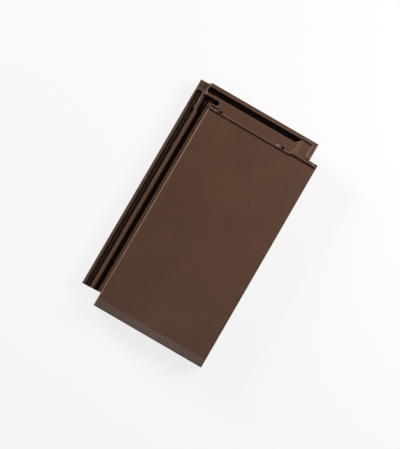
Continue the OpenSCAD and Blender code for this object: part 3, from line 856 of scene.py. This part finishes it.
print(f"camera: {CAMERA_DISTANCE:.1f} m away with a {lens.lens:.0f} mm lens")

# %% [markdown]
# The floor is plain white paper. More light could turn it white, but would bleach the tile. Instead most of
# what the camera and reflections see of it glows, so that the ground stays white while the tile's soft
# shadow still falls on it. Under the tile it does not glow, and a spot of shade lies behind each nail hole,
# so that the holes look dark. Seen from below it is clear, so that the tile's back can be looked at.

# %% Floor
FLOOR_HALF = 6.0
FLOOR_GAP = 0.0003
floor_mesh = bpy.data.meshes.new("floor")
corners = FLOOR_HALF * np.array([(-1, -1, 0), (1, -1, 0), (1, 1, 0), (-1, 1, 0)]) - (0, 0, FLOOR_GAP)
floor_mesh.from_pydata(corners.tolist(), [], [(0, 1, 2, 3)])
floor = bpy.data.objects.new("floor", floor_mesh)
bpy.context.scene.collection.objects.link(floor)
paper = bpy.data.materials.new("white_paper")
paper.use_nodes = True
floor_mesh.materials.append(paper)
print(f"floor: {2 * FLOOR_HALF:.0f} m square")

# %% Tone of the paper
# Matt white paper, with a round spot of shade where the camera's line through each nail hole meets it.
PAPER, HOLE_SHADOW = linear("#f2f2f2"), linear("#1c1714")
HOLE_SHADOWS = ((-0.0667, 0.1849, 0.0), (0.0583, 0.1849, 0.0))
HOLE_SHADOW_RADIUS = 0.007
tree = paper.node_tree
tree.nodes.clear()
place = add(tree, "ShaderNodeTexCoord").outputs["Object"]
left_spot, right_spot = [
    add(tree, "ShaderNodeVectorMath", {"operation": "DISTANCE"}, _0=place, _1=spot).outputs["Value"]
    for spot in HOLE_SHADOWS
]
nearer = add(tree, "ShaderNodeMath", {"operation": "MINIMUM"}, _0=left_spot, _1=right_spot).outputs[0]
shaded = add(tree, "ShaderNodeMath", {"operation": "LESS_THAN"}, _0=nearer, _1=HOLE_SHADOW_RADIUS).outputs[0]
paper_tone = add(tree, "ShaderNodeMix", COLOUR, _0=shaded, _6=PAPER, _7=HOLE_SHADOW).outputs[2]
diffuse = add(tree, "ShaderNodeBsdfDiffuse", Color=paper_tone).outputs[0]
print(f"paper: {len(HOLE_SHADOWS)} spots of shade, {2 * HOLE_SHADOW_RADIUS / MM:.0f} mm across")

# %% Glow of the paper
UNDER_TILE = (0.10, 0.19, 1.0)
GLOW_SHARE = 0.8
WHITE = linear("#ffffff")
rays = add(tree, "ShaderNodeLightPath").outputs
seen = add(tree, "ShaderNodeMath", LARGER, _0=rays["Is Camera Ray"], _1=rays["Is Glossy Ray"]).outputs[0]
seen = add(tree, "ShaderNodeMath", LARGER, _0=seen, _1=rays["Is Transmission Ray"]).outputs[0]
away = add(tree, "ShaderNodeVectorMath", {"operation": "DIVIDE"}, _0=place, _1=UNDER_TILE).outputs[0]
away = add(tree, "ShaderNodeVectorMath", {"operation": "ABSOLUTE"}, _0=away).outputs[0]
away = add(tree, "ShaderNodeSeparateXYZ", Vector=away).outputs
farther = add(tree, "ShaderNodeMath", LARGER, _0=away["X"], _1=away["Y"]).outputs[0]
clear = add(tree, "ShaderNodeMath", {"operation": "GREATER_THAN"}, _0=farther, _1=1.0).outputs[0]
share = add(tree, "ShaderNodeMath", TIMES, _0=seen, _1=clear).outputs[0]
share = add(tree, "ShaderNodeMath", TIMES, _0=share, _1=GLOW_SHARE).outputs[0]
glow = add(tree, "ShaderNodeEmission", Color=WHITE, Strength=1.0).outputs[0]
above = add(tree, "ShaderNodeMixShader", _0=share, _1=diffuse, _2=glow).outputs[0]
see_through = add(tree, "ShaderNodeBsdfTransparent").outputs[0]
from_below = add(tree, "ShaderNodeNewGeometry").outputs["Backfacing"]
surface = add(tree, "ShaderNodeMixShader", _0=from_below, _1=above, _2=see_through).outputs[0]
add(tree, "ShaderNodeOutputMaterial", Surface=surface)
print(f"paper: {GLOW_SHARE:.0%} of what the camera sees of it glows")

# %% [markdown]
# Three soft lamps stand round the tile. One is low on the lock's side and far away, one is over the head's
# right corner, and a weak one over the foot shows the slope of the nose. A pale room alone could light the
# tile, but then its grooves would hardly show. The first two lamps are low enough that the grooves fall into
# shade, and the room, darker overhead, fills the rest.

# %% Lamps
def softbox(name, azimuth, elevation, distance, width, height, power):
    """A lamp of the given width and height that looks at the tile from an azimuth, counted from +X, and
    an elevation."""
    lamp = bpy.data.lights.new(name, "AREA")
    lamp.shape = "RECTANGLE"
    lamp.size = width
    lamp.size_y = height
    lamp.energy = power
    piece = bpy.data.objects.new(name, lamp)
    a, e = math.radians(azimuth), math.radians(elevation)
    away = Vector((math.cos(a) * math.cos(e), math.sin(a) * math.cos(e), math.sin(e)))
    piece.location = away * distance
    piece.rotation_euler = away.to_track_quat("Z", "Y").to_euler()
    bpy.context.scene.collection.objects.link(piece)
    print(f"lamp {name}: {distance:.1f} m away, {elevation:.1f} degrees up, {power:.1f} W")


softbox("left", azimuth=160.0, elevation=15.0, distance=3.0, width=0.95, height=0.95, power=103.0)
softbox("over_head_end", azimuth=42.0, elevation=37.0, distance=1.3, width=0.75, height=0.65, power=12.6)
softbox("over_foot_end", azimuth=272.0, elevation=64.5, distance=2.2, width=0.6, height=0.6, power=4.5)

# %% World
ROOM_SIDES, ROOM_OVERHEAD = 0.12, 0.03
OVERHEAD_FROM = 0.7
world = bpy.data.worlds.new("pale_room")
world.use_nodes = True
bpy.context.scene.world = world
tree = world.node_tree
tree.nodes.clear()
ray = add(tree, "ShaderNodeTexCoord").outputs["Generated"]
up = add(tree, "ShaderNodeSeparateXYZ", Vector=ray).outputs["Z"]
room_range = {"From_Min": 0.0, "From_Max": OVERHEAD_FROM, "To_Min": ROOM_SIDES, "To_Max": ROOM_OVERHEAD}
room = add(tree, "ShaderNodeMapRange", Value=up, **room_range).outputs[0]
sky = add(tree, "ShaderNodeBackground", Color=WHITE, Strength=room).outputs[0]
add(tree, "ShaderNodeOutputWorld", Surface=sky)
bpy.context.scene.view_settings.view_transform = "Standard"
print(f"room: {ROOM_SIDES} at the sides, {ROOM_OVERHEAD} overhead")
